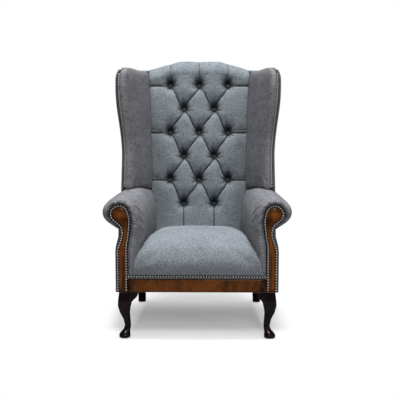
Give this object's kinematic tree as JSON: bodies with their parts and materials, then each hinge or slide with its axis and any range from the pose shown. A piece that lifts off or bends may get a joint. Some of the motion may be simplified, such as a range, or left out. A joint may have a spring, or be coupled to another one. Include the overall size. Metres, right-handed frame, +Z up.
{
  "type": "wingback armchair",
  "caption": "High-back wing armchair with scroll arms, diamond-buttoned back, sprung seat, studded leather facings and dark cabriole front legs.",
  "frame": {"origin": "on the floor, in the middle of the chair's box from side to side and from front to back", "axes": "+Z up, +X to the right of someone who looks at the chair's front, -Y the way the chair faces"},
  "size_m": [0.796, 0.8048, 1.1916],
  "materials": {
    "frame_beech": "planed, unfinished",
    "board_birch": "plywood, unfinished",
    "spring_steel": "bright drawn",
    "hessian": "coarse weave",
    "webbing": "woven strip",
    "padding": "foam and fibre padding",
    "seat_and_back_wool": "woven wool, soft nap",
    "arm_and_wing_wool": "woven wool with faint slub lines",
    "twine": "waxed twine",
    "antique_leather": "rubbed antique, semi-gloss",
    "antique_nails": "antiqued, polished domes",
    "dark_mahogany": "dark polished",
    "glide_nylon": "moulded",
    "bottom_cloth": "spun black cloth"
  },
  "bodies": {
    "root": {"arm_cover_left": "arm_and_wing_wool", "arm_cover_right": "arm_and_wing_wool", "arm_facing_left": "antique_leather", "arm_facing_right": "antique_leather", "arm_pad_left": "padding", "arm_pad_right": "padding", "arm_post_left": "frame_beech", "arm_post_right": "frame_beech", "arm_top_rail_left": "frame_beech", "arm_top_rail_right": "frame_beech", "back_buttons": "seat_and_back_wool", "back_cover": "seat_and_back_wool", "back_pad": "padding", "back_post_left": "frame_beech", "back_post_right": "frame_beech", "back_rail": "frame_beech", "back_webbing": "webbing", "bottom_cloth": "bottom_cloth", "button_twines": "twine", "corner_blocks": "frame_beech", "crest_rail": "frame_beech", "facing_nails_left": "antique_nails", "facing_nails_right": "antique_nails", "front_border": "antique_leather", "front_leg_left": "dark_mahogany", "front_leg_right": "dark_mahogany", "front_rail": "frame_beech", "leg_bolts": "spring_steel", "leg_glides": "glide_nylon", "outside_arm_left": "arm_and_wing_wool", "outside_arm_right": "arm_and_wing_wool", "outside_back": "arm_and_wing_wool", "outside_wing_left": "arm_and_wing_wool", "outside_wing_right": "arm_and_wing_wool", "rear_leg_left": "dark_mahogany", "rear_leg_right": "dark_mahogany", "seat_cover": "seat_and_back_wool", "seat_hessian": "hessian", "seat_nails": "antique_nails", "seat_pad": "padding", "seat_springs": "spring_steel", "side_rail_left": "frame_beech", "side_rail_right": "frame_beech", "spring_clips": "spring_steel", "tack_rail": "frame_beech", "wing_board_left": "board_birch", "wing_board_right": "board_birch", "wing_cover_left": "arm_and_wing_wool", "wing_cover_right": "arm_and_wing_wool", "wing_nails_left": "antique_nails", "wing_nails_right": "antique_nails", "wing_pad_left": "padding", "wing_pad_right": "padding"}
  },
  "joints": []
}
